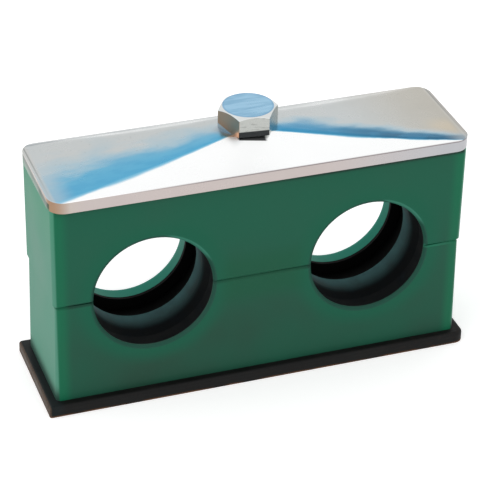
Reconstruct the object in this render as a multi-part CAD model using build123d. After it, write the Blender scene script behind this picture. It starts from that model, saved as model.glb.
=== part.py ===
"""Twin hydraulic tube clamp: two green moulded clamp halves with black elastomer liners, a pressed
cover plate on top, a weld plate with a welded nut below, and one hexagon bolt down the middle.

Millimetres. +Z is up, +X runs along the clamp, and the tubes run along Y. The origin is at the centre
of the weld plate's underside. The front face, which the liners are pushed in from, looks along -Y.
"""
from build123d import *
import math
import os

# Clamp halves
UPPER_HALF_LENGTH = 106.4        # along X
LOWER_HALF_DRAFT = 0.5           # how far each end of the lower half leans in, from its foot to the parting
CLAMP_DEPTH = 27.0               # along Y, front face to back face
HALF_HEIGHT = 27.0               # each half, from its plate to the parting plane
TUBE_SPACING = 56.0              # between the two tube axes
EDGE_ROUND = 1.4                 # upright edges of the halves
PARTING_BEVEL = 0.5              # bevel round the parting plane, on each half

# Tube seats
TUBE_SEAT_RADIUS = 15.25         # for a 30 mm tube, liners relaxed
LINER_WALL = 4.0                 # greatest thickness of the elastomer
LINER_FIT = 0.05                 # between the liner and the pocket that holds it
FRONT_LIP = 0.9                  # thin moulded lip that covers the liner's front edge
BACK_LAND = 4.0                  # moulded shoulder that the liner is pushed against
SEAT_BEVEL = 0.5                 # bevel on both mouths of a seat
RELIEF_DEPTH = 0.8               # shallow front relief of the liner, from the tube seat
RELIEF_LENGTH = 4.5              # its even part
RISE_LENGTH = 3.6                # soft rise from the relief to the gripping crest
CREST_LENGTH = 5.0               # gripping crest, on the tube seat
GROOVE_DEPTH = 3.0               # deep groove behind the crest, from the tube seat
BACK_LIP = 0.9                   # narrow lip of the liner beside the shoulder

# Plates
WELD_PLATE_OVERHANG = 2.3        # past each end of the clamp halves
WELD_PLATE_SIDE_OVERHANG = 2.2   # past the front and back faces
WELD_PLATE_THICKNESS = 3.0
WELD_PLATE_SHEARED_ROUND = 0.6   # corners at the sheared end, -X
WELD_PLATE_CROPPED_ROUND = 2.5   # corners at the cropped end, +X
WELD_PLATE_WORN_ROUND = 0.9      # its upper edge, apart from the sheared end
COVER_END_OVERHANG = 0.3         # past each end of the upper half
COVER_SIDE_OVERHANG = 1.5        # past the front and back faces
COVER_THICKNESS = 3.0
COVER_CORNER_ROUND = 4.0
COVER_RISE = 5.0                 # from the rim's top edge to the bolt seat
COVER_SEAT_LENGTH = 15.0         # small flat that the bolt head bears on
COVER_SEAT_WIDTH = 11.0
COVER_HOLLOW = 0.36              # share of the rise reached half way in: below 0.5 the facets are hollow
COVER_FOLD_SHARE = 1.6           # round of the four diagonal folds, as a share of their room on the seat
COVER_END_BEARING = 6.0          # flat margin under the cover, inside the upper half's ends
COVER_SIDE_BEARING = 3.0         # the same inside its front and back faces

# Bolt M8 x 60 and its welded nut
BOLT_DIAMETER = 8.0
BOLT_ENGAGEMENT = 8.0            # how far the bolt reaches into the nut, which sets its length
BOLT_HEAD_FLATS = 13.0
BOLT_HEAD_HEIGHT = 5.3
BOLT_TURNED = -5.5               # degrees that the head's corners stand from +X
BOLT_TIP_BEVEL = 0.9
BOLT_HOLE_DIAMETER = 9.0         # in the halves, the cover and the weld plate
CHAMFER_CIRCLE = 0.95            # top face's diameter as a share of the width across flats
CHAMFER_ANGLE = 30.0
NUT_WALL = 3.44
NUT_HEIGHT = 10.0
NUT_BEVEL = 0.8
NUT_BORE_CLEARANCE = 0.06        # on the radius, between the bolt and the nut's bore
NUT_POCKET_CLEARANCE = 2.0       # on the radius, round the nut and its weld
NUT_POCKET_HEADROOM = 0.6

# Sizes that follow from the ones above
LOWER_HALF_LENGTH = UPPER_HALF_LENGTH
WELD_PLATE_LENGTH = UPPER_HALF_LENGTH + 2 * WELD_PLATE_OVERHANG
COVER_LENGTH = UPPER_HALF_LENGTH + 2 * COVER_END_OVERHANG
WELD_PLATE_WIDTH = CLAMP_DEPTH + 2 * WELD_PLATE_SIDE_OVERHANG
COVER_WIDTH = CLAMP_DEPTH + 2 * COVER_SIDE_OVERHANG
# A fold runs out on a long edge of the seat, where a flatter fold in plan leaves less room for its round
COVER_FOLD_SLOPE = (COVER_WIDTH - COVER_SEAT_WIDTH) / (COVER_LENGTH - COVER_SEAT_LENGTH)
COVER_FOLD_ROUND = COVER_FOLD_SHARE * COVER_FOLD_SLOPE * COVER_SEAT_LENGTH
NUT_BORE = BOLT_DIAMETER / 2 + NUT_BORE_CLEARANCE
NUT_DIAMETER = 2 * (NUT_BORE + NUT_WALL)

# Levels
Z_LOWER_HALF = WELD_PLATE_THICKNESS
Z_PARTING = Z_LOWER_HALF + HALF_HEIGHT
Z_COVER = Z_PARTING + HALF_HEIGHT
Z_BOLT_SEAT = Z_COVER + COVER_THICKNESS + COVER_RISE
Z_BOLT_TIP = WELD_PLATE_THICKNESS + NUT_HEIGHT - BOLT_ENGAGEMENT
Y_FRONT = -CLAMP_DEPTH / 2
Y_BACK = CLAMP_DEPTH / 2
TUBE_X = {"left": -TUBE_SPACING / 2, "right": TUBE_SPACING / 2}


def upright_cylinder(radius, low, high):
    """A cylinder on the bolt's axis between two levels."""
    return Pos(0, 0, low) * Cylinder(radius, high - low, align=(Align.CENTER, Align.CENTER, Align.MIN))


def hexagon_prism(flats, low, high, turned=0.0):
    """A hexagonal prism on the bolt's axis between two levels."""
    outline = RegularPolygon(flats / math.sqrt(3), 6, rotation=turned)
    return Pos(0, 0, low) * extrude(outline, high - low)


def revolve_about_tube(x, corners):
    """A solid of revolution about one tube axis; corners are (y, radius) pairs round its section."""
    section = make_face(Polyline(corners, close=True))
    to_tube = Plane(origin=(x, 0, Z_PARTING), x_dir=(0, 1, 0), z_dir=(1, 0, 0))
    return revolve(to_tube * section, Axis((x, 0, Z_PARTING), (0, 1, 0)), 360)


POCKET_RADIUS = TUBE_SEAT_RADIUS + LINER_WALL
POCKET_FRONT = Y_FRONT + FRONT_LIP
POCKET_BACK = Y_BACK - BACK_LAND


def seat_cutter(x):
    """What the tube seat and its liner pocket take out of the two halves."""
    flare = TUBE_SEAT_RADIUS + SEAT_BEVEL
    corners = [
        (Y_FRONT - 1, 0),
        (Y_FRONT - 1, flare),
        (Y_FRONT, flare),
        (Y_FRONT + SEAT_BEVEL, TUBE_SEAT_RADIUS),
        (POCKET_FRONT, TUBE_SEAT_RADIUS),
        (POCKET_FRONT, POCKET_RADIUS),
        (POCKET_BACK, POCKET_RADIUS),
        (POCKET_BACK, TUBE_SEAT_RADIUS),
        (Y_BACK - SEAT_BEVEL, TUBE_SEAT_RADIUS),
        (Y_BACK, flare),
        (Y_BACK + 1, flare),
        (Y_BACK + 1, 0),
    ]
    return revolve_about_tube(x, corners)


def liner_ring(x):
    """The whole elastomer ring: front relief, rise, gripping crest, deep groove and back lip."""
    front, back = POCKET_FRONT + LINER_FIT, POCKET_BACK - LINER_FIT
    outside = POCKET_RADIUS - LINER_FIT
    relief, groove = TUBE_SEAT_RADIUS + RELIEF_DEPTH, TUBE_SEAT_RADIUS + GROOVE_DEPTH
    relief_end = front + RELIEF_LENGTH
    crest_start = relief_end + RISE_LENGTH
    crest_end = crest_start + CREST_LENGTH
    corners = [
        (front, outside),
        (front, relief),
        (relief_end, relief),
        (crest_start, TUBE_SEAT_RADIUS),
        (crest_end, TUBE_SEAT_RADIUS),
        (crest_end, groove),
        (back - BACK_LIP, groove),
        (back - BACK_LIP, TUBE_SEAT_RADIUS),
        (back, TUBE_SEAT_RADIUS),
        (back, outside),
    ]
    return revolve_about_tube(x, corners)


def half_space(low, high):
    """A block as long and deep as anything here, between two levels."""
    reach = 2 * WELD_PLATE_LENGTH
    return Pos(0, 0, low) * Box(reach, reach, high - low, align=(Align.CENTER, Align.CENTER, Align.MIN))


def clamp_half(outer_z, outer_length, parting_length):
    """One moulded half, bored for the bolt and for both tube seats. It runs from its outer face, which a
    plate bears on, to the parting plane, and its ends may lean between the two."""
    faces = sorted([(outer_z, outer_length), (Z_PARTING, parting_length)])
    sections = [Plane.XY.offset(z) * RectangleRounded(length, CLAMP_DEPTH, EDGE_ROUND) for z, length in faces]
    body = loft(sections, ruled=True)
    rim = [e for e in body.edges() if abs(e.center().Z - Z_PARTING) < 1e-6]
    body = chamfer(rim, PARTING_BEVEL)
    for x in TUBE_X.values():
        body -= seat_cutter(x)
    return body - upright_cylinder(BOLT_HOLE_DIAMETER / 2, faces[0][0] - 1, faces[1][0] + 1)


def lower_half():
    """The lower half also has a round pocket underneath that clears the welded nut."""
    body = clamp_half(Z_LOWER_HALF, LOWER_HALF_LENGTH, LOWER_HALF_LENGTH - 2 * LOWER_HALF_DRAFT)
    pocket_radius = NUT_DIAMETER / 2 + NUT_POCKET_CLEARANCE
    pocket_top = Z_LOWER_HALF + NUT_HEIGHT + NUT_POCKET_HEADROOM
    return body - upright_cylinder(pocket_radius, Z_LOWER_HALF - 1, pocket_top)


def upper_half():
    return clamp_half(Z_COVER, UPPER_HALF_LENGTH, UPPER_HALF_LENGTH)


def liner(x, low, high):
    """The part of a liner ring that one clamp half holds."""
    return liner_ring(x) & half_space(low, high)


def weld_plate():
    """A flat sheared plate, square at one end and with cropped corners at the other."""
    half_length, half_width = WELD_PLATE_LENGTH / 2, WELD_PLATE_WIDTH / 2
    plate = Box(WELD_PLATE_LENGTH, WELD_PLATE_WIDTH, WELD_PLATE_THICKNESS,
                align=(Align.CENTER, Align.CENTER, Align.MIN))
    uprights = plate.edges().filter_by(Axis.Z)
    plate = fillet([e for e in uprights if e.center().X > 0], WELD_PLATE_CROPPED_ROUND)
    uprights = [e for e in plate.edges().filter_by(Axis.Z)
                if abs(e.center().X + half_length) < 1e-6 and abs(abs(e.center().Y) - half_width) < 1e-6]
    plate = fillet(uprights, WELD_PLATE_SHEARED_ROUND)
    upper = [e for e in plate.edges() if abs(e.center().Z - WELD_PLATE_THICKNESS) < 1e-6]
    plate = fillet([e for e in upper if e.center().X > half_length - WELD_PLATE_CROPPED_ROUND],
                   WELD_PLATE_WORN_ROUND)
    return plate - upright_cylinder(BOLT_HOLE_DIAMETER / 2, -1, WELD_PLATE_THICKNESS + 1)


def weld_nut():
    """A round threaded boss welded to the plate, its thread shown as a smooth bore."""
    top = WELD_PLATE_THICKNESS + NUT_HEIGHT
    nut = upright_cylinder(NUT_DIAMETER / 2, WELD_PLATE_THICKNESS, top)
    rim = [e for e in nut.edges().filter_by(GeomType.CIRCLE) if abs(e.center().Z - top) < 1e-6]
    nut = chamfer(rim, NUT_BEVEL)
    return nut - upright_cylinder(NUT_BORE, WELD_PLATE_THICKNESS - 1, top + 1)


def chamfer_cone(flats, top, height):
    """A turned blank that leaves the curved chamfer on a hexagon's upper corners."""
    top_radius = CHAMFER_CIRCLE * flats / 2
    spread = height / math.tan(math.radians(CHAMFER_ANGLE))
    section = make_face(Polyline([(0, top - height), (top_radius + spread, top - height),
                                  (top_radius, top), (0, top)], close=True))
    return revolve(Plane.XZ * section, Axis.Z, 360)


def hip_block(low, high, base_size, top_size, hollow=0.5):
    """A four-sided hip between two levels; a hollow below 0.5 makes its facets sag."""
    half_way = [(a + b) / 2 for a, b in zip(base_size, top_size)]
    levels = [low, low + hollow * (high - low), high]
    sizes = [base_size, half_way, top_size]
    sections = [Plane.XY.offset(z) * Rectangle(*size) for z, size in zip(levels, sizes)]
    return loft(sections)


def cover_plate():
    """A pressed plate with four sagging facets that rise to the bolt seat, folded along its diagonals."""
    z_rim = Z_COVER + COVER_THICKNESS
    seat = (COVER_SEAT_LENGTH, COVER_SEAT_WIDTH)
    outline = RectangleRounded(COVER_LENGTH, COVER_WIDTH, COVER_CORNER_ROUND)
    rim = Pos(0, 0, Z_COVER) * extrude(outline, COVER_THICKNESS)
    hip = hip_block(z_rim, Z_BOLT_SEAT, (COVER_LENGTH, COVER_WIDTH), seat, COVER_HOLLOW)
    folds = [e for e in hip.edges() if abs(e.bounding_box().size.Z - COVER_RISE) < 1e-6]
    hip = fillet(folds, COVER_FOLD_ROUND)
    hip &= Pos(0, 0, z_rim) * extrude(outline, COVER_RISE)
    hollow_size = (UPPER_HALF_LENGTH - 2 * COVER_END_BEARING, CLAMP_DEPTH - 2 * COVER_SIDE_BEARING)
    under = hip_block(Z_COVER, Z_BOLT_SEAT - COVER_THICKNESS, hollow_size, seat, COVER_HOLLOW)
    plate = rim + hip - under
    return plate - upright_cylinder(BOLT_HOLE_DIAMETER / 2, Z_COVER - 1, Z_BOLT_SEAT + 1)


def hex_bolt():
    """A hexagon-head bolt, its thread shown as a smooth shank."""
    shank = upright_cylinder(BOLT_DIAMETER / 2, Z_BOLT_TIP, Z_BOLT_SEAT)
    end = [e for e in shank.edges().filter_by(GeomType.CIRCLE) if abs(e.center().Z - Z_BOLT_TIP) < 1e-6]
    shank = chamfer(end, BOLT_TIP_BEVEL)
    top = Z_BOLT_SEAT + BOLT_HEAD_HEIGHT
    head = hexagon_prism(BOLT_HEAD_FLATS, Z_BOLT_SEAT, top, BOLT_TURNED)
    return shank + (head & chamfer_cone(BOLT_HEAD_FLATS, top, BOLT_HEAD_HEIGHT))


def build():
    parts = {
        "weld_plate": weld_plate(),
        "weld_nut": weld_nut(),
        "lower_half": lower_half(),
        "upper_half": upper_half(),
        "cover_plate": cover_plate(),
        "hex_bolt": hex_bolt(),
    }
    for side, x in TUBE_X.items():
        parts[f"lower_{side}_liner"] = liner(x, Z_LOWER_HALF, Z_PARTING)
        parts[f"upper_{side}_liner"] = liner(x, Z_PARTING, Z_COVER)
    return parts


os.makedirs("parts", exist_ok=True)
for node, shape in build().items():
    export_step(shape, f"parts/{node}.step")
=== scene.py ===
# %% [markdown]
# # A twin hydraulic tube clamp
# Two green moulded halves hold two tubes in black elastomer liners. A pressed cover plate and one
# hexagon bolt draw them down on to a weld plate. The CAD model gives every piece its
# place. This script adds what the CAD leaves plain (the bolt's thread, the weld round the nut) and
# gives every surface a finish.

# %% Load the CAD model
import bpy
import math
import numpy as np
from mathutils import Matrix, Vector


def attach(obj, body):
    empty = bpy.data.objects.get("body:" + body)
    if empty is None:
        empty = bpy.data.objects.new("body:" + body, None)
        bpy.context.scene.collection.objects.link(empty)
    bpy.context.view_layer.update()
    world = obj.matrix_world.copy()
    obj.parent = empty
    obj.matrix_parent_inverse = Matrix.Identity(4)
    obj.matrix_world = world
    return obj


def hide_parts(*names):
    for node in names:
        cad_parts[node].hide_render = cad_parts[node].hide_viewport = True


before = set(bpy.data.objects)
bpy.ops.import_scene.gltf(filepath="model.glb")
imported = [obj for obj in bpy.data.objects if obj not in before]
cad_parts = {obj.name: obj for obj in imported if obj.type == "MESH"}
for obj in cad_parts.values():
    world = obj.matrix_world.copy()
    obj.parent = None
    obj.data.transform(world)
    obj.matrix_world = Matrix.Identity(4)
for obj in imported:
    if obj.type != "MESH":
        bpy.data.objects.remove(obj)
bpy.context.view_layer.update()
print("pieces from the CAD model:", ", ".join(sorted(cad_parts)))

# %% [markdown]
# ## How a finish is written
# A finish could be an image wrapped round the piece, or a tree of nodes worked out at each place on it.
# A tree is used, because it stays sharp at any distance. Colours are written as they look on a screen
# and turned linear once. One function adds a node, and its inputs can be numbers, colours or other
# nodes, so a finish reads from top to bottom. Patterns are placed by object coordinates, and their
# scales come from real sizes: a mark of so many millimetres.

# %% One function for nodes
MM = 0.001


def linear(code):
    """A colour such as "#2c5a48" as linear light with alpha. Each channel is undone from sRGB."""
    channels = [int(code[i:i + 2], 16) / 255 for i in (1, 3, 5)]
    return tuple(c / 12.92 if c <= 0.04045 else ((c + 0.055) / 1.055) ** 2.4 for c in channels) + (1.0,)


def plug(tree, node, inputs):
    """Fills a node's inputs, by name or number, with numbers, colour codes or other nodes' outputs."""
    for key, value in inputs.items():
        if isinstance(value, bpy.types.NodeSocket):
            tree.links.new(value, node.inputs[key])
        else:
            node.inputs[key].default_value = linear(value) if isinstance(value, str) else value


def add(tree, kind, inputs, output=0, stops=(), **settings):
    """Adds one node with its settings and inputs, and gives back one of its outputs. stops are the
    (position, colour code) pairs of a colour ramp, in order."""
    node = tree.nodes.new("ShaderNode" + kind)
    for key, value in settings.items():
        setattr(node, key, value)
    plug(tree, node, inputs)
    if stops:
        elements = node.color_ramp.elements
        while len(elements) < len(stops):
            elements.new(0.5)
        for element, (position, code) in zip(elements, stops):
            element.position = position
            element.color = linear(code)
    return node.outputs[output]


# %% [markdown]
# ## Tints laid over tints
# A real finish is built up: a base colour, then stains, worn lines and shading, each in its own place.
# Each could be its own long chain of nodes. Here every one is a tint with a strength and some limits,
# such as "from 8 mm up to 46 mm high", because one line then says what it is and where it lies.

# %% Where a tint lies
def new_finish(name):
    """An empty node material with its shader, and a reader of object coordinates."""
    material = bpy.data.materials.new(name)
    material.use_nodes = True
    tree = material.node_tree
    return material, tree, tree.nodes["Principled BSDF"], add(tree, "TexCoord", {}, "Object")


def per_mark(size_mm):
    """The scale that makes a pattern's marks about this many millimetres wide."""
    return 1 / (size_mm * MM)


def in_mm(tree, place):
    """The x, y and z of a place, in millimetres."""
    scaled = add(tree, "VectorMath", {0: place, "Scale": 1 / MM}, operation="SCALE")
    return add(tree, "SeparateXYZ", {"Vector": scaled}).node.outputs


def where(tree, *limits):
    """How far a place is inside all of these limits, from 0 to 1. A limit is (measure, none at, full at)
    and eases in between. A fourth number is the least that the limit leaves."""
    share = 1.0
    for measure, none_at, full_at, *least in limits:
        inside = add(tree, "MapRange", {"Value": measure, "From Min": none_at, "From Max": full_at,
                                        "To Min": least[0] if least else 0.0},
                     interpolation_type="SMOOTHSTEP")
        share = add(tree, "Math", {0: share, 1: inside}, operation="MULTIPLY")
    return share


def lay(tree, under, tint, strength, *limits):
    """Lays a tint over a colour at this strength, where a place is inside all of the limits."""
    share = add(tree, "Math", {0: strength, 1: where(tree, *limits)}, operation="MULTIPLY")
    return add(tree, "Mix", {0: share, 6: under, 7: tint}, output=2, data_type="RGBA")


def apart(tree, measure, middle):
    """How far a measure is from a middle value, either way."""
    difference = add(tree, "Math", {0: measure, 1: middle}, operation="SUBTRACT")
    return add(tree, "Math", {0: difference}, operation="ABSOLUTE")


def toward(tree, x, y, degrees):
    """How far a place lies from an axis in one direction across it: x cos a + y sin a."""
    a = math.radians(degrees)
    second = add(tree, "Math", {0: y, 1: math.sin(a)}, operation="MULTIPLY")
    return add(tree, "Math", {0: x, 1: math.cos(a), 2: second}, operation="MULTIPLY_ADD")


def across(tree, x, y):
    """How far a place lies from an axis: sqrt(x x + y y)."""
    square = add(tree, "Math", {0: y, 1: y}, operation="MULTIPLY")
    squares = add(tree, "Math", {0: x, 1: x, 2: square}, operation="MULTIPLY_ADD")
    return add(tree, "Math", {0: squares}, operation="SQRT")


def paint(material, *names):
    """Puts one finish on these pieces."""
    for name in names:
        mesh = bpy.data.objects[name].data
        mesh.materials.clear()
        mesh.materials.append(material)
    print(material.name, "on", ", ".join(names), "with", len(material.node_tree.nodes), "nodes")


# %% [markdown]
# ## The bolt with its thread
# The CAD bolt has a plain shank. The real one is an M8 hexagon bolt with a rolled thread on its lower
# part. The thread could be a swept coil joined to a rod, which leaves seams. A thread is also a radius
# that depends on height and angle, so here the shank is one grid of points, and the head is another
# set of rings on the same grid. One grid keeps the bolt closed from its head to its tip.

# %% Pieces from rings of points
def new_piece(name, points, faces, sharp_degrees):
    """A smooth mesh object with creases where its faces meet at more than this angle."""
    mesh = bpy.data.meshes.new(name)
    mesh.from_pydata(points.tolist(), [], faces)
    mesh.polygons.foreach_set("use_smooth", np.ones(len(mesh.polygons), bool))
    mesh.set_sharp_from_angle(angle=math.radians(sharp_degrees))
    thing = bpy.data.objects.new(name, mesh)
    bpy.context.scene.collection.objects.link(thing)
    return thing


def around_axis(radius, height, angle):
    """Rings about the Z axis: x = r cos a, y = r sin a, z = h."""
    angle = np.broadcast_to(angle, np.broadcast_shapes(radius.shape, height.shape, angle.shape))
    return np.stack([radius * np.cos(angle), radius * np.sin(angle), height + 0 * angle], axis=-1)


def full_turn(count):
    """Evenly spaced angles round a circle, as one row."""
    return (np.arange(count) / count * 2 * math.pi)[None, :]


def between_rings(count, turn, last_row):
    """Four-sided faces from each ring to the next. Point j of ring i has the number i * turn + j."""
    row, column = np.meshgrid(np.arange(last_row), np.arange(turn), indexing="ij")
    down = (row + 1) % count
    after = (column + 1) % turn
    return np.stack([row * turn + column, row * turn + after,
                     down * turn + after, down * turn + column], axis=-1).reshape(-1, 4)


def capped_rings(name, rings):
    """A piece from an open stack of rings. Its first and last ring are closed by a fan to their middle."""
    count, turn = rings.shape[:2]
    middles = rings[[0, -1]].mean(axis=1)
    around = np.arange(turn)
    onward = (around + 1) % turn
    last = (count - 1) * turn
    first_fan = np.stack([onward, around, np.full(turn, count * turn)], axis=-1)
    last_fan = np.stack([last + around, last + onward, np.full(turn, count * turn + 1)], axis=-1)
    faces = between_rings(count, turn, count - 1).tolist() + first_fan.tolist() + last_fan.tolist()
    return new_piece(name, np.vstack([rings.reshape(-1, 3), middles]), faces, 28)


def looped_rings(name, rings):
    """A piece from rings that run round its section, the last one joined to the first."""
    count, turn = rings.shape[:2]
    faces = between_rings(count, turn, count)[:, ::-1]
    return new_piece(name, rings.reshape(-1, 3), faces.tolist(), 40)


# %% Bolt
HEAD_FLATS = 13 * MM
HEAD_TOP = 70.3 * MM
BOLT_SEAT = 65 * MM
BOLT_TIP = 5 * MM
SHANK_R = 4 * MM
PITCH = 1.25 * MM
THREAD_LENGTH = 34 * MM
THREAD_DEPTH = 0.61 * PITCH
POINT_DEPTH = 0.95 * MM
HEAD_TURN = -5.5               # degrees to the corner nearest to the clamp's right end
LEFT_FLANK = HEAD_TURN - 150   # degrees in which the left flank looks
FRONT_FLANK = HEAD_TURN - 90
TOP_R = 0.475 * HEAD_FLATS
CHAMFER_SLOPE = math.tan(math.radians(30))


def shank_rings(angle):
    """Thread: r = R - d t, where t is a triangle wave of z/pitch - a/2pi with flat crests and roots, and
    d fades in over one pitch. The point is a cone of 45 degrees at the tip."""
    steps = np.arange(BOLT_TIP, BOLT_TIP + THREAD_LENGTH, PITCH / 10)
    heights = np.concatenate([steps, [BOLT_SEAT - 0.02 * MM, BOLT_SEAT]])[:, None]
    wave = (heights / PITCH - angle / (2 * math.pi)) % 1.0
    triangle = 1 - np.abs(2 * wave - 1)
    depth = THREAD_DEPTH * np.clip((BOLT_TIP + THREAD_LENGTH - heights) / PITCH, 0, 1)
    radius = SHANK_R - depth * np.clip(1.12 * triangle - 0.06, 0, 1)
    point = SHANK_R - POINT_DEPTH + (heights - BOLT_TIP)
    return around_axis(np.minimum(radius, point), heights, angle)


def head_rings(angle):
    """A hexagon of half flats h has radius h / cos(b), b being the angle from the nearest flat's middle,
    and the turned chamfer brings its height down by 30 degrees outside the top circle."""
    sixth = math.pi / 3
    from_corner = (angle - math.radians(HEAD_TURN) + sixth / 2) % sixth - sixth / 2
    hexagon = HEAD_FLATS / 2 / np.cos(sixth / 2 - np.abs(from_corner))
    drop = np.maximum(0, hexagon - TOP_R) * CHAMFER_SLOPE
    level = np.zeros_like(hexagon)
    return np.concatenate([
        around_axis(hexagon, level + BOLT_SEAT, angle),
        around_axis(hexagon, HEAD_TOP - drop, angle),
        around_axis(level + TOP_R, level + HEAD_TOP, angle),
        around_axis(level + TOP_R / 2, level + HEAD_TOP, angle)])


round_bolt = full_turn(96) + math.radians(HEAD_TURN)
bolt = capped_rings("threaded_bolt", np.concatenate([shank_rings(round_bolt), head_rings(round_bolt)]))
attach(bolt, "bolt")
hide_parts("hex_bolt")
print("bolt: thread of", round(PITCH / MM, 2), "mm pitch over", round(THREAD_LENGTH / MM), "mm,",
      len(bolt.data.polygons), "faces")

# %% [markdown]
# ## The weld round the nut
# The threaded boss is held to the plate by a fillet weld. It hides in the pocket under the lower half,
# and shows when the pieces are looked at apart. It could be a plain ring, but a hand weld's size rises
# and falls as it goes round, so its surface is a quarter-round bead with ripples.

# %% Weld bead
NUT_R = 7.5 * MM
PLATE_TOP = 3 * MM
WELD_LEG = 1.4 * MM


def weld_rings(angle, ripples=30):
    """The bead's skin from the nut's wall down to the plate: r = R + s sin q, z = top + s cos q, where q
    runs from 0 to 90 degrees and s = leg (0.93 + 0.07 |sin(ripples a / 2)|). A ring in the corner between
    nut and plate closes it."""
    lean = np.linspace(0, math.pi / 2, 9)[:, None]
    size = WELD_LEG * (0.93 + 0.07 * np.abs(np.sin(ripples * angle / 2)))
    skin = around_axis(NUT_R + size * np.sin(lean), PLATE_TOP + size * np.cos(lean), angle)
    root = around_axis(NUT_R + 0 * size, PLATE_TOP + 0 * size, angle)
    return np.concatenate([skin, root])


bead = looped_rings("weld_bead", weld_rings(full_turn(240)))
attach(bead, "base")
print("weld bead:", round(WELD_LEG / MM, 1), "mm leg,", len(bead.data.polygons), "faces")

# %% [markdown]
# ## Green moulded polypropylene
# The halves are injection mouldings in a filled green polypropylene. The skin is satin, with slow flow
# shading from the gate and a fine grain from the tool. The upright ends are painted paler, as painted
# light for the lamps falling on them. One flat green would look like paint, so three noises of real sizes
# lie under tints that follow the moulding's own features: its tube seats, its joint and its ends. Some of
# these tints are painted light and shade.

# %% Places on the green halves
TUBE_X, TUBE_Z = 28, 30    # mm from the bolt to a tube's axis, and its height
SEAT_R = 15.25             # mm, the radius of a tube seat
HALF_END = 53.2            # mm from the bolt to either end of the halves


def beside_tube(tree, x, z):
    """How far a place lies to the right of the nearer tube's axis, and above it."""
    axis = add(tree, "MapRange", {"Value": x, "From Min": -1, "From Max": 1,
                                  "To Min": -TUBE_X, "To Max": TUBE_X}, interpolation_type="SMOOTHSTEP")
    beside = add(tree, "Math", {0: x, 1: axis}, operation="SUBTRACT")
    above = add(tree, "Math", {0: z, 1: TUBE_Z}, operation="SUBTRACT")
    return beside, above


def outside_seat(tree, x, z):
    """How far a place lies outside the nearer tube seat: sqrt((|x| - 28)^2 + (z - 30)^2) - 15.25."""
    beside = add(tree, "Math", {0: apart(tree, x, 0), 1: TUBE_X}, operation="SUBTRACT")
    above = add(tree, "Math", {0: z, 1: TUBE_Z}, operation="SUBTRACT")
    return add(tree, "Math", {0: across(tree, beside, above), 1: SEAT_R}, operation="SUBTRACT")


def joint_and_waist(tree, colour, x, z, cloud):
    """The dark joint line, paler at its right end where painted light covers the shade of its groove, and
    the deeper green between the two tubes.
    """
    off_joint = apart(tree, z, TUBE_Z)
    colour = lay(tree, colour, "#08201a", 0.6, (off_joint, 0.8, 0.3), (cloud, 0.35, 0.6, 0.45),
                 (x, 42, 30, 0.1))
    # Painted light makes the joint line paler at its right end, over the shade of its groove.
    colour = lay(tree, colour, "#2c8c6a", 0.3, (off_joint, 0.6, 0.4), (x, 38, 44))
    return lay(tree, colour, "#0a5539", 0.6, (apart(tree, x, 0), 13, 8), (off_joint, 9, 3))


def painted_end_light(tree, z, cloud):
    """The ends painted pale as painted light, greener towards the cover, and dark at the foot as painted
    shade.
    """
    pale = add(tree, "Mix", {0: cloud, 6: "#427d68", 7: "#55937d"}, output=2, data_type="RGBA")
    pale = lay(tree, pale, "#3f8c6c", 0.5, (z, 40, 54))
    return lay(tree, pale, "#13211f", 0.8, (z, 8, 3.5))


# %% Green moulding
def green_moulding():
    """Satin green plastic: the eye reads slow cloudy depth, fine grain, and rich green near the edges."""
    material, tree, shader, place = new_finish("green_moulded_polypropylene")
    x, y, z = in_mm(tree, place)
    cloud = add(tree, "TexNoise", {"Vector": place, "Scale": per_mark(24), "Detail": 2.0})
    fleck = add(tree, "TexNoise", {"Vector": place, "Scale": per_mark(0.9), "Detail": 4.0})
    grain = add(tree, "TexNoise", {"Vector": place, "Scale": per_mark(0.35), "Detail": 2.0})
    colour = add(tree, "ValToRGB", {"Fac": cloud},
                 stops=[(0.3, "#1f4838"), (0.5, "#1c4f3d"), (0.7, "#195440")])
    colour = lay(tree, colour, "#115f47", 0.65, (z, 8, 46))
    # Each mouth has a rich green ring, and its edge is painted dark as painted shade, with a painted
    # highlight at its upper right.
    from_seat = outside_seat(tree, x, z)
    colour = lay(tree, colour, "#0a5b43", 0.85, (from_seat, 6.25, 1.25))
    upper_right = toward(tree, *beside_tube(tree, x, z), 52)
    mouth = lay(tree, "#1c4039", "#438a76", 1.0, (upper_right, 13.8, 15.2))
    colour = lay(tree, colour, mouth, 0.6, (from_seat, 1.05, 0.65), (y, -12, -12.6))
    colour = joint_and_waist(tree, colour, x, z, cloud)
    from_end = add(tree, "Math", {0: HALF_END, 1: apart(tree, x, 0)}, operation="SUBTRACT")
    # The green is rich near the ends, and a painted shadow of the cover lies just under it as a dark line.
    colour = lay(tree, colour, "#096e4b", 0.65, (from_end, 4.6, 1.8))
    colour = lay(tree, colour, "#0c2a22", 0.85, (z, 55.1, 55.9), (x, -15, 20, 0.2))
    colour = lay(tree, colour, "#2f6f57", 0.15, (fleck, 0.58, 0.8))
    # The upright ends are painted pale for the light on them, with painted shade at the foot.
    colour = lay(tree, colour, painted_end_light(tree, z, cloud), 1.0, (from_end, 1.0, 0.5))
    # The land behind the liners is painted bright teal as painted light coming in through the rear mouth,
    # with a painted highlight at that mouth.
    land = lay(tree, "#008b74", "#7fd2c4", 0.55, (y, 12.3, 13.3))
    colour = lay(tree, colour, land, 1.0, (from_seat, 0.65, 0.15), (y, 8, 9))
    rough = add(tree, "MapRange", {"Value": cloud, "From Min": 0.3, "From Max": 0.7,
                                   "To Min": 0.46, "To Max": 0.56}, interpolation_type="SMOOTHSTEP")
    relief = add(tree, "Bump", {"Height": grain, "Strength": 0.5, "Distance": 0.02 * MM})
    plug(tree, shader, {"Base Color": colour, "Roughness": rough, "Normal": relief,
                        "Specular IOR Level": 0.2})
    return material


paint(green_moulding(), "lower_half", "upper_half")
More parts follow.
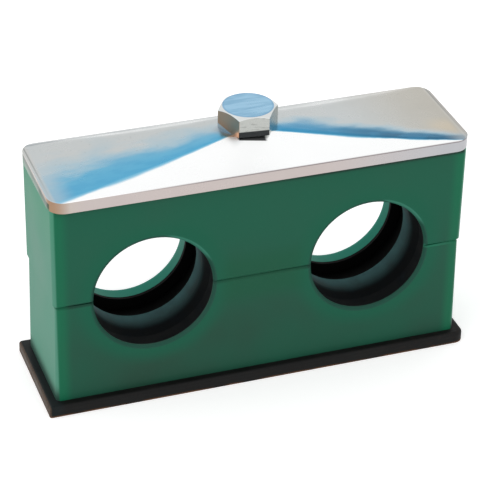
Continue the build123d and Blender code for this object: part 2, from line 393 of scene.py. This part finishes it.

# %% [markdown]
# ## Black elastomer
# The liners are moulded from a black thermoplastic elastomer. It is almost black, a little dusty, and its
# skin is finely matt. Its gripping crest carries a painted highlight, a cold slate sheen. The sheen could
# come from gloss alone, but rubber scatters light, so it is a painted slate tint on the gripping crest
# over a light mottling, and the groove behind the crest is painted near black as painted shade.

# %% Black elastomer
def black_elastomer():
    """Dark slate rubber: the eye reads a black skin and a painted slate highlight on the gripping crest.
    """
    material, tree, shader, place = new_finish("black_elastomer")
    x, y, z = in_mm(tree, place)
    dust = add(tree, "TexNoise", {"Vector": place, "Scale": per_mark(4), "Detail": 4.0})
    grain = add(tree, "TexNoise", {"Vector": place, "Scale": per_mark(0.4), "Detail": 3.0})
    skin = add(tree, "ValToRGB", {"Fac": dust},
               stops=[(0.35, "#030506"), (0.6, "#060a0d"), (0.8, "#0e151a")])
    # The crest is painted slate as a painted highlight, brightest near its back edge.
    crest = [(y, -6.6, 0.8), (outside_seat(tree, x, z), 0.35, 0.05), (y, 1.6, 1.4), (dust, 0.2, 0.7, 0.6)]
    skin = lay(tree, skin, "#4b7172", 1.0, *crest)
    skin = lay(tree, skin, "#86a5a3", 0.5, *crest, (y, 0.3, 1.4))
    # Behind the crest the groove is painted near black as painted shade.
    skin = lay(tree, skin, "#040505", 1.0, (y, 1.4, 1.6))
    rough = add(tree, "MapRange", {"Value": dust, "From Min": 0.3, "From Max": 0.7,
                                   "To Min": 0.6, "To Max": 0.75}, interpolation_type="SMOOTHSTEP")
    relief = add(tree, "Bump", {"Height": grain, "Strength": 0.5, "Distance": 0.02 * MM})
    plug(tree, shader, {"Base Color": skin, "Roughness": rough, "Normal": relief,
                        "Specular IOR Level": 0.08})
    return material


paint(black_elastomer(), "lower_left_liner", "lower_right_liner", "upper_left_liner", "upper_right_liner")

# %% [markdown]
# ## Dark weld plate
# The weld plate stays unplated so that it can be welded: dark rolled steel with a phosphate and oil
# film, nearly black, with a brown cast of light rust that gathers at the sheared edges. The film hides
# the metal's own shine, so the finish is made as a dull dark skin and not as bare metal.

# %% Dark steel
PLATE_END = 55.5    # mm from the bolt to either end of the weld plate


def dark_steel():
    """Dark phosphated steel: the eye reads near-black metal with a brown sheared end and worn specks."""
    material, tree, shader, place = new_finish("dark_phosphated_steel")
    x, _, z = in_mm(tree, place)
    from_left = add(tree, "Math", {0: x, 1: PLATE_END}, operation="ADD")
    patch = add(tree, "TexNoise", {"Vector": place, "Scale": per_mark(7), "Detail": 5.0})
    speck = add(tree, "TexNoise", {"Vector": place, "Scale": per_mark(0.7), "Detail": 4.0})
    colour = add(tree, "ValToRGB", {"Fac": patch},
                 stops=[(0.3, "#070707"), (0.55, "#0d0d0d"), (0.75, "#161412")])
    colour = lay(tree, colour, "#101a1c", 0.7, (from_left, 4.5, 2.0))
    colour = lay(tree, colour, "#241a13", 0.4, (speck, 0.5, 0.7), (x, 15, 50, 0.3))
    colour = lay(tree, colour, "#57463a", 1.0, (from_left, 0.6, 0.2), (speck, 0.35, 0.7, 0.5))
    colour = lay(tree, colour, "#7a5439", 0.7, (z, 0.55, 0.15), (patch, 0.35, 0.6))
    rough = add(tree, "MapRange", {"Value": patch, "From Min": 0.3, "From Max": 0.7,
                                   "To Min": 0.5, "To Max": 0.68}, interpolation_type="SMOOTHSTEP")
    relief = add(tree, "Bump", {"Height": speck, "Strength": 0.6, "Distance": 0.04 * MM})
    plug(tree, shader, {"Base Color": colour, "Roughness": rough, "Normal": relief,
                        "Specular IOR Level": 0.18})
    return material


paint(dark_steel(), "weld_plate", "weld_nut", "weld_bead")

# %% [markdown]
# ## Blue-passivated zinc
# The cover plate is pressed from sheet, zinc plated and passivated. Its front facet is painted near white
# and a band along each front fold is painted blue: the passivation's own blue tint, laid as a painted
# reflection on the rounded folds. The rim is cut through and shows a warm pinkish tone.
# The blue could be left to reflections, but it would then move with the viewer. It is a tint placed by
# where a point lies on the plate: each fold is a line from a corner of the plate to the bolt seat, and
# the band follows the distance from it.

# %% Zinc
def zinc(name):
    """A bright metal finish with fine satin grain, ready for a tint."""
    material, tree, shader, place = new_finish(name)
    drawn = add(tree, "Mapping", {"Vector": place, "Scale": (0.05, 1.0, 1.0)})
    streak = add(tree, "TexNoise", {"Vector": drawn, "Scale": per_mark(0.8), "Detail": 3.0})
    cloud = add(tree, "TexNoise", {"Vector": place, "Scale": per_mark(9), "Detail": 3.0})
    rough = add(tree, "MapRange", {"Value": cloud, "From Min": 0.3, "From Max": 0.7,
                                   "To Min": 0.24, "To Max": 0.38}, interpolation_type="SMOOTHSTEP")
    relief = add(tree, "Bump", {"Height": streak, "Strength": 0.25, "Distance": 0.002 * MM})
    plug(tree, shader, {"Metallic": 1.0, "Roughness": rough, "Normal": relief})
    return material, tree, shader, place, cloud


# %% The blue bands along the front folds
def behind_fold(tree, x, y, drift):
    """How far a place lies behind the nearer front fold, as a share of the blue band's width there.
    In plan a front fold runs from the corner (53, -15) to the bolt seat's corner (7.5, -5.5), as the
    line y = a |x| + b. The rounded fold turns blue a little behind its line on the left, and before it on
    the right. The band is wide at the left corner and narrows to a point at the right one."""
    away = apart(tree, x, 0)
    right = where(tree, (x, -0.5, 0.5))
    left_fold = add(tree, "Math", {0: away, 1: -0.236, 2: -3.1}, operation="MULTIPLY_ADD")
    right_fold = add(tree, "Math", {0: away, 1: -0.209, 2: -4.15}, operation="MULTIPLY_ADD")
    fold = add(tree, "Mix", {0: right, 2: left_fold, 3: right_fold})
    wobble = add(tree, "Math", {0: drift, 1: 1.2, 2: -0.6}, operation="MULTIPLY_ADD")
    behind = add(tree, "Math", {0: y, 1: fold}, operation="SUBTRACT")
    behind = add(tree, "Math", {0: behind, 1: wobble}, operation="ADD")
    left_width = add(tree, "MapRange", {"Value": x, "From Min": -8, "From Max": -44,
                                        "To Min": 8, "To Max": 16.5}, interpolation_type="SMOOTHSTEP")
    right_width = add(tree, "MapRange", {"Value": x, "From Min": 22, "From Max": 52,
                                         "To Min": 7, "To Max": 3.4}, interpolation_type="SMOOTHSTEP")
    width = add(tree, "Mix", {0: right, 2: left_width, 3: right_width})
    uneven = add(tree, "Math", {0: drift, 1: 1.5, 2: 0.25}, operation="MULTIPLY_ADD")
    width = add(tree, "Math", {0: width, 1: uneven}, operation="MULTIPLY")
    width = add(tree, "Math", {0: width, 1: where(tree, (away, 7, 15, 0.7))}, operation="MULTIPLY")
    return add(tree, "Math", {0: behind, 1: width}, operation="DIVIDE")


def painted_fold_reflections(tree, place, x, share):
    """Painted reflections: white ahead of the folds, then blue, deeper on the right and rippled on the
    left, then grey.
    """
    level = add(tree, "MapRange", {"Value": share, "From Min": -0.1, "From Max": 1.4})
    band = add(tree, "ValToRGB", {"Fac": level},
               stops=[(0.055, "#fcfdfd"), (0.085, "#8ec6df"), (0.12, "#58abd0"),
                      (0.40, "#66b0d0"), (0.62, "#a3c1cf"), (0.95, "#c2c8c9")])
    deep = lay(tree, "#3a90ba", "#2a6384", 1.0, (x, 8, 40))
    band = lay(tree, band, deep, 0.95, (x, -0.5, 0.5), (share, 1.05, 0.4), (share, 0.0, 0.12))
    drawn = add(tree, "Mapping", {"Vector": place, "Scale": (0.35, 1.0, 1.0)})
    ripple = add(tree, "TexNoise", {"Vector": drawn, "Scale": per_mark(1.8), "Detail": 5.0})
    band = lay(tree, band, "#459ac6", 0.3, (ripple, 0.42, 0.62), (share, 0.0, 0.15), (share, 0.95, 0.3))
    band = lay(tree, band, "#bcc6cb", 0.5, (share, 0.0, 0.1), (x, -46, -52))
    return lay(tree, band, "#adb0ae", 0.7, (share, 0.0, 0.1), (x, 46, 53))


# %% The greys, the edges and the bolt's shade on the cover
COVER_END = 53.5    # mm from the bolt to either end of the cover
RIM_TOP = 60        # mm, the height of the cover's rim


def rear_greys(tree, place, colour, x, y, share):
    """The rear facets are a clear grey, tan towards the right and cream at its corner. Their fine pepper
    is laid later, in cover_zinc.
    """
    colour = lay(tree, colour, "#c4c6c5", 0.6, (y, -6, 10))
    colour = lay(tree, colour, "#b9b4a9", 0.8, (x, 22, 50), (share, 0.8, 1.6))
    return lay(tree, colour, "#cdc0a9", 0.6, (x, 43, 49), (x, 52.6, 50.6), (share, 0.9, 1.8), (y, -1, -7))


def painted_edge_reflections(tree, colour, x, y, drift):
    """Painted reflections of rounded edges: each end has a paler strip and a grey line inside it, which
    fade towards the front. The rear edge has the same painted grey line, less even."""
    from_end = add(tree, "Math", {0: COVER_END, 1: apart(tree, x, 0)}, operation="SUBTRACT")
    colour = lay(tree, colour, "#c7c5c0", 0.5, (from_end, 1.8, 1.0))
    colour = lay(tree, colour, "#8e9290", 0.7, (apart(tree, from_end, 0.7), 0.3, 0.1), (y, -13, 10, 0.15))
    rear = add(tree, "Math", {0: drift, 1: -2.4, 2: y}, operation="MULTIPLY_ADD")
    return lay(tree, colour, "#8d959a", 0.6, (apart(tree, rear, 12.5), 0.5, 0.2), (x, -8, -30))


def under_head(tree, colour, x, y):
    """The head's left flank shades the plate. The head also overhangs the seat's front edge, so the gap
    under it is dark."""
    left = toward(tree, x, y, LEFT_FLANK)
    beside = apart(tree, toward(tree, x, y, LEFT_FLANK + 90), 0)
    colour = lay(tree, colour, "#9a9ea3", 0.6, (left, 9.5, 6.8), (left, 5, 6), (beside, 5, 2.5))
    ahead = toward(tree, x, y, FRONT_FLANK)
    along = toward(tree, x, y, FRONT_FLANK + 90)
    slanted = add(tree, "Math", {0: along, 1: -0.04, 2: ahead}, operation="MULTIPLY_ADD")
    return lay(tree, colour, "#16191b", 0.95, (slanted, 6.85, 6.65), (ahead, 4.6, 4.9),
               (along, 3.5, 2.6), (along, -3.9, -3.5))


def cut_rim(tree, x, y, below):
    """Warm at the left front corner, pinkish along the front and cooler to the right. The left end's rim
    mirrors the green below it: a dark line under a bright strip, then paler."""
    along = where(tree, (x, -COVER_END, -44))
    rim = add(tree, "ValToRGB", {"Fac": along},
              stops=[(0.0, "#9c7d64"), (0.5, "#bcb2ab"), (1.0, "#bbb1ae")])
    rim = lay(tree, rim, "#aeb1b6", 0.8, (x, 10, 50))
    rim = lay(tree, rim, "#aba39d", 0.8, (y, -12.5, -7))
    down = add(tree, "Math", {0: y, 1: 0.04, 2: below}, operation="MULTIPLY_ADD")
    green = lay(tree, "#0d3f2d", "#3c7259", 1.0, (down, 1.8, 2.3))
    return lay(tree, rim, green, 0.95, (down, 0.6, 0.85), (x, 0.4 - COVER_END, 0.15 - COVER_END))


# %% Cover plate
def cover_zinc():
    """Pressed zinc plate: a bright front facet and blue along the front folds as painted reflections, a
    grey rear and a warm rim.
    """
    material, tree, shader, place, _ = zinc("blue_passivated_zinc_plate")
    x, y, z = in_mm(tree, place)
    drawn = add(tree, "Mapping", {"Vector": place, "Scale": (0.5, 1.0, 1.0)})
    drift = add(tree, "TexNoise", {"Vector": drawn, "Scale": per_mark(5), "Detail": 4.0})
    pepper = add(tree, "TexNoise", {"Vector": place, "Scale": per_mark(0.7), "Detail": 3.0})
    share = behind_fold(tree, x, y, drift)
    colour = painted_fold_reflections(tree, place, x, share)
    colour = rear_greys(tree, place, colour, x, y, share)
    colour = painted_edge_reflections(tree, colour, x, y, drift)
    colour = lay(tree, colour, "#8f9496", 0.3, (pepper, 0.62, 0.75), (y, -4, 2))
    colour = under_head(tree, colour, x, y)
    below = add(tree, "Math", {0: RIM_TOP, 1: z}, operation="SUBTRACT")
    colour = lay(tree, colour, cut_rim(tree, x, y, below), 1.0, (below, 0.03, 0.2))
    # A painted dark reflection lies along the rounded edge between the top and the rim, from the middle to
    # the right.
    colour = lay(tree, colour, "#74696b", 0.75, (apart(tree, below, 0.17), 0.24, 0.1), (x, -45, -8))
    plug(tree, shader, {"Base Color": colour})
    return material


paint(cover_zinc(), "cover_plate")

# %% The bolt's zinc
FLANK = HEAD_FLATS / 2 / MM    # mm from the bolt's axis to a flank
TOP_CIRCLE = TOP_R / MM        # mm from the axis to the chamfer
HEAD_HEIGHT = (HEAD_TOP - BOLT_SEAT) / MM
CONE_TOP = HEAD_HEIGHT + TOP_CIRCLE * CHAMFER_SLOPE


def left_flank_reflections(tree, up, to_corner):
    """The left flank, painted as reflections: brown, orange low at its front corner and blue-grey low at
    its left, where it mirrors the cover.
    """
    brown = lay(tree, "#9c8b79", "#a5836b", 1.0, (up, 3.5, 0.5))
    brown = lay(tree, brown, "#d09c7c", 0.8, (to_corner, 2.0, 2.9), (up, 1.7, 1.1))
    low_left = add(tree, "Math", {0: to_corner, 1: 0.25, 2: up}, operation="MULTIPLY_ADD")
    return lay(tree, brown, "#a6b7c0", 0.85, (low_left, 0.5, 0.1))


def bolt_zinc():
    """Zinc-plated bolt: light blue top, silver flanks, one brown-grey flank and a dark lower edge, the
    last two painted as reflections. A place is on a flank when it is half the flats away in the direction
    in which that flank looks."""
    material, tree, shader, place, cloud = zinc("blue_passivated_zinc_bolt")
    x, y, z = in_mm(tree, place)
    up = add(tree, "Math", {0: z, 1: BOLT_SEAT / MM}, operation="SUBTRACT")
    drawn_down = add(tree, "Mapping", {"Vector": place, "Scale": (0.25, 0.25, 1.5)})
    scratch = add(tree, "TexNoise", {"Vector": drawn_down, "Scale": per_mark(0.5), "Detail": 4.0})
    colour = add(tree, "Mix", {0: cloud, 6: "#abaeaa", 7: "#b8bab6"}, output=2, data_type="RGBA")
    colour = lay(tree, colour, "#7d7f7c", 0.5, (scratch, 0.55, 0.68))
    on_left = (toward(tree, x, y, LEFT_FLANK), FLANK - 0.12, FLANK - 0.04)
    on_front = (toward(tree, x, y, FRONT_FLANK), FLANK - 0.12, FLANK - 0.04)
    brown = left_flank_reflections(tree, up, toward(tree, x, y, LEFT_FLANK + 90))
    colour = lay(tree, colour, brown, 1.0, on_left)
    # The front flank's lower edge is painted dark, a painted reflection of the shade under the head.
    colour = lay(tree, colour, "#1d2023", 0.95, on_front, (up, 1.65, 1.35))
    # The chamfer is a turned cone: its height plus the slope times its radius is the same all over.
    out = across(tree, x, y)
    cone = add(tree, "Math", {0: out, 1: CHAMFER_SLOPE, 2: up}, operation="MULTIPLY_ADD")
    colour = lay(tree, colour, "#d9dcdb", 1.0, (cone, CONE_TOP - 0.12, CONE_TOP - 0.04))
    drawn = add(tree, "Mapping", {"Vector": place, "Scale": (0.2, 1.0, 1.0)})
    lines = add(tree, "TexNoise", {"Vector": drawn, "Scale": per_mark(1.4), "Detail": 3.0})
    top = lay(tree, "#83b1ce", "#9ac4de", 1.0, (lines, 0.35, 0.65))
    # A painted shade line runs round the edge of the top.
    top = lay(tree, top, "#6f9cc0", 0.5, (out, TOP_CIRCLE - 0.5, TOP_CIRCLE - 0.1))
    colour = lay(tree, colour, top, 1.0, (up, HEAD_HEIGHT - 0.1, HEAD_HEIGHT - 0.02))
    plug(tree, shader, {"Base Color": colour})
    return material


paint(bolt_zinc(), "hex_bolt", "threaded_bolt")

# %% [markdown]
# ## Softened edges
# Pressed, moulded and forged edges are never knife sharp. They could be rounded in the mesh, but a
# bevel modifier leaves the CAD shape as it is and still catches a thin line of light.

# %% Edge bevels
for name, width_mm in (("cover_plate", 0.35), ("weld_plate", 0.2), ("threaded_bolt", 0.12)):
    bevel = bpy.data.objects[name].modifiers.new("soft_edges", "BEVEL")
    bevel.width = width_mm * MM
    bevel.segments = 2
    bevel.limit_method = "ANGLE"
    bevel.angle_limit = math.radians(35)
    bevel.use_clamp_overlap = True
    print(name, "has its edges softened by", width_mm, "mm")

# %% [markdown]
# ## Stage
# The clamp stands on a white floor under a soft even sky, with two large softboxes. A white background
# could come from stronger lamps, but they would bleach the clamp. Here the floor and the sky are white
# only to the camera and in reflections, and the floor keeps the shadow of the clamp.

# %% Floor
def seen_directly(tree):
    """1 for rays from the camera, or that metal or glass turns, and 0 for the light on the clamp."""
    rays = add(tree, "LightPath", {}).node.outputs
    seen = add(tree, "Math", {0: rays["Is Camera Ray"], 1: rays["Is Glossy Ray"]}, operation="MAXIMUM")
    return add(tree, "Math", {0: seen, 1: rays["Is Transmission Ray"]}, operation="MAXIMUM")


def white_floor():
    """A pale floor, lifted to white for the camera and in reflections, with the shadow left on it."""
    material, tree, shader, _ = new_finish("pale_floor")
    lift = add(tree, "Math", {0: seen_directly(tree), 1: 0.4}, operation="MULTIPLY")
    plug(tree, shader, {"Base Color": "#f4f4f4", "Roughness": 0.9,
                        "Emission Color": "#ffffff", "Emission Strength": lift})
    return material


def flat_square(name, half, height):
    """A level square at this height: four corners at plus and minus the half width."""
    mesh = bpy.data.meshes.new(name)
    signs = [(-1, -1), (1, -1), (1, 1), (-1, 1)]
    corners = [(across_x * half, across_y * half, height) for across_x, across_y in signs]
    mesh.from_pydata(corners, [], [(0, 1, 2, 3)])
    thing = bpy.data.objects.new(name, mesh)
    bpy.context.scene.collection.objects.link(thing)
    return thing


floor = flat_square("floor", 6.0, -0.05 * MM)
floor.data.materials.append(white_floor())
print("floor:", [round(v, 2) for v in floor.dimensions], "m")

# %% Lights
TARGET = Vector((0, 0, 30 * MM))    # the clamp's middle


def softbox(name, place, size, power):
    """A square area lamp aimed at the clamp's middle."""
    lamp = bpy.data.lights.new(name, "AREA")
    lamp.size = size
    lamp.energy = power
    thing = bpy.data.objects.new(name, lamp)
    bpy.context.scene.collection.objects.link(thing)
    thing.location = place
    thing.rotation_mode = "QUATERNION"
    thing.rotation_quaternion = (TARGET - Vector(place)).to_track_quat("-Z", "Y")
    print(name, "of", size, "m at", place)


def white_world(strength):
    """An even white sky, full white to the camera and in reflections and weaker as light."""
    world = bpy.data.worlds.new("white_room")
    bpy.context.scene.world = world
    world.use_nodes = True
    tree = world.node_tree
    level = add(tree, "MapRange", {"Value": seen_directly(tree), "To Min": strength, "To Max": 1.0})
    plug(tree, tree.nodes["Background"], {"Color": "#ffffff", "Strength": level})


softbox("key_softbox", (-0.75, -0.2, 0.6), 1.0, 2.7)
softbox("fill_softbox", (0.5, -0.7, 0.5), 0.6, 0.9)
white_world(0.75)

# %% [markdown]
# ## Camera
# The camera stands a little to the left of the front and well above it. It could be aimed by a
# constraint, but it has a long lens and a small roll, as a hand-held product shot has, so its axes are
# worked out from three angles.

# %% Camera
AZIMUTH, ELEVATION, ROLL = 20.07, 31.79, 1.33    # degrees
DISTANCE = 539.59 * MM
SIDE_STEP, UP_STEP = 1.25 * MM, -0.84 * MM
LENS_PER_SENSOR = 4.292
SENSOR = 36.0                                    # mm


def stand_camera():
    """Turns the three angles into the camera's own axes and stands it on its line of sight."""
    a, e, r = (math.radians(v) for v in (AZIMUTH, ELEVATION, ROLL))
    level = Vector((math.cos(a), -math.sin(a), 0))
    upward = Vector((math.sin(a) * math.sin(e), math.cos(a) * math.sin(e), math.cos(e)))
    back = Vector((-math.sin(a) * math.cos(e), -math.cos(a) * math.cos(e), math.sin(e)))
    side = level * math.cos(r) + upward * math.sin(r)
    up = upward * math.cos(r) - level * math.sin(r)
    data = bpy.data.cameras.new("camera")
    data.sensor_width = SENSOR
    data.lens = SENSOR * LENS_PER_SENSOR
    data.clip_start = 0.01
    data.clip_end = 20.0
    camera = bpy.data.objects.new("camera", data)
    bpy.context.scene.collection.objects.link(camera)
    turn = Matrix((side, up, back)).transposed().to_4x4()
    stand = TARGET + back * DISTANCE + side * SIDE_STEP + up * UP_STEP
    camera.matrix_world = Matrix.Translation(stand) @ turn
    bpy.context.scene.camera = camera
    print("camera at", [round(v, 3) for v in stand], "m with a lens of", round(data.lens, 1), "mm")


stand_camera()
bpy.context.scene.view_settings.view_transform = "Standard"
